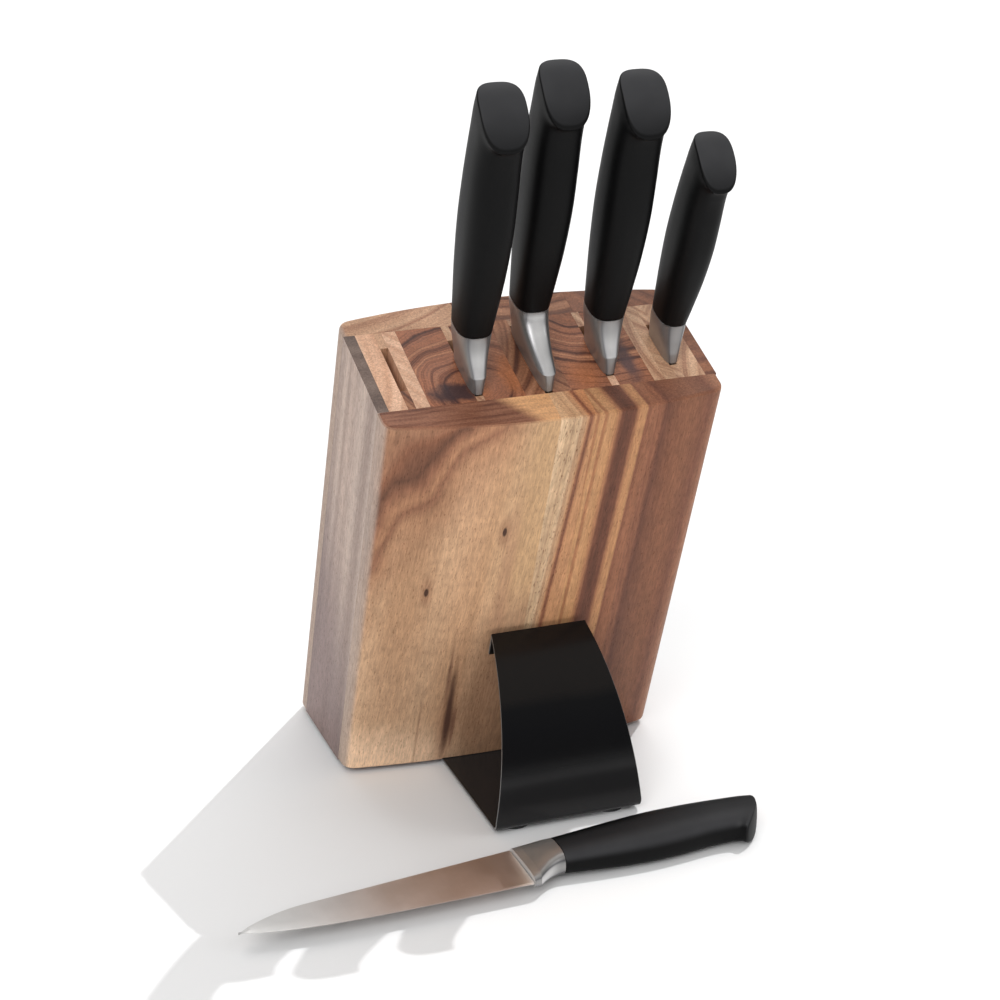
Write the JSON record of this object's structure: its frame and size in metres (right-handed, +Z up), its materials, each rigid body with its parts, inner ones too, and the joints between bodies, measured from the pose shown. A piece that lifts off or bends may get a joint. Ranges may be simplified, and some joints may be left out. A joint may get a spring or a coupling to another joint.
{
  "type": "knife block with knives",
  "caption": "Bowed acacia knife block leaning over a folded black steel stand, with slotted kitchen knives that draw out and a utility knife laid in front.",
  "frame": {"origin": "middle of the set's plan box, on the table", "axes": "+Z up; the block's bowed front and the lying knife face -Y; +X to the right seen from the front"},
  "size_m": [0.2483, 0.2301, 0.3502],
  "materials": {
    "acacia_light": "satin clear lacquer over tan acacia, long straight grain",
    "acacia_brown": "satin clear lacquer over reddish-brown acacia heartwood",
    "acacia_pale": "satin clear lacquer over pale pinkish sapwood",
    "acacia_end_grain": "sanded end grain with dark growth rings",
    "handle_plastic": "soft-touch matt black",
    "blade_steel": "satin, ground across the blade",
    "bolster_steel": "fine satin, polished on the guard's curve",
    "black_steel": "gloss black baked enamel",
    "rubber_foot": "matt black",
    "screw_steel": "zinc plated"
  },
  "bodies": {
    "block": {"back_board_1": "acacia_light", "back_board_2": "acacia_brown", "back_board_3": "acacia_light", "base_screw_1": "screw_steel", "base_screw_2": "screw_steel", "block_foot_front_left": "rubber_foot", "block_foot_front_right": "rubber_foot", "block_foot_rear_left": "rubber_foot", "block_foot_rear_right": "rubber_foot", "core_stave_1": "acacia_pale", "core_stave_10": "acacia_pale", "core_stave_11": "acacia_pale", "core_stave_2": "acacia_pale", "core_stave_3": "acacia_end_grain", "core_stave_4": "acacia_end_grain", "core_stave_5": "acacia_brown", "core_stave_6": "acacia_brown", "core_stave_7": "acacia_end_grain", "core_stave_8": "acacia_end_grain", "core_stave_9": "acacia_pale", "end_board_left": "acacia_brown", "end_board_right": "acacia_brown", "front_board_1": "acacia_light", "front_board_2": "acacia_pale", "front_board_3": "acacia_light", "front_board_4": "acacia_brown", "slot_1_back_spacer": "acacia_pale", "slot_1_front_spacer": "acacia_pale", "slot_2_back_spacer": "acacia_pale", "slot_2_front_spacer": "acacia_pale", "slot_3_back_spacer": "acacia_pale", "slot_4_back_spacer": "acacia_pale", "slot_4_front_spacer": "acacia_pale", "slot_5_back_spacer": "acacia_pale", "slot_5_front_spacer": "acacia_pale", "stand_foot_left": "rubber_foot", "stand_foot_right": "rubber_foot", "stand_sheet": "black_steel"},
    "bread_knife": {"bread_blade": "blade_steel", "bread_bolster": "bolster_steel", "bread_handle": "handle_plastic"},
    "cooks_knife": {"cooks_blade": "blade_steel", "cooks_bolster": "bolster_steel", "cooks_handle": "handle_plastic"},
    "carving_knife": {"carving_blade": "blade_steel", "carving_bolster": "bolster_steel", "carving_handle": "handle_plastic"},
    "paring_knife": {"paring_blade": "blade_steel", "paring_bolster": "bolster_steel", "paring_handle": "handle_plastic"},
    "utility_knife": {"utility_blade": "blade_steel", "utility_bolster": "bolster_steel", "utility_handle": "handle_plastic"}
  },
  "joints": [
    {"name": "bread_draw", "type": "slide", "parent": "block", "child": "bread_knife", "axis": [0, -0.3697, 0.9291], "range_m": [0, 0.205]},
    {"name": "cooks_draw", "type": "slide", "parent": "block", "child": "cooks_knife", "axis": [0, -0.3697, 0.9291], "range_m": [0, 0.205]},
    {"name": "carving_draw", "type": "slide", "parent": "block", "child": "carving_knife", "axis": [0, -0.3697, 0.9291], "range_m": [0, 0.205]},
    {"name": "paring_draw", "type": "slide", "parent": "block", "child": "paring_knife", "axis": [0, -0.3697, 0.9291], "range_m": [0, 0.095]},
    {"name": "utility_lift", "type": "slide", "parent": "block", "child": "utility_knife", "axis": [0, 0, 1], "range_m": [0, 0.1]}
  ]
}
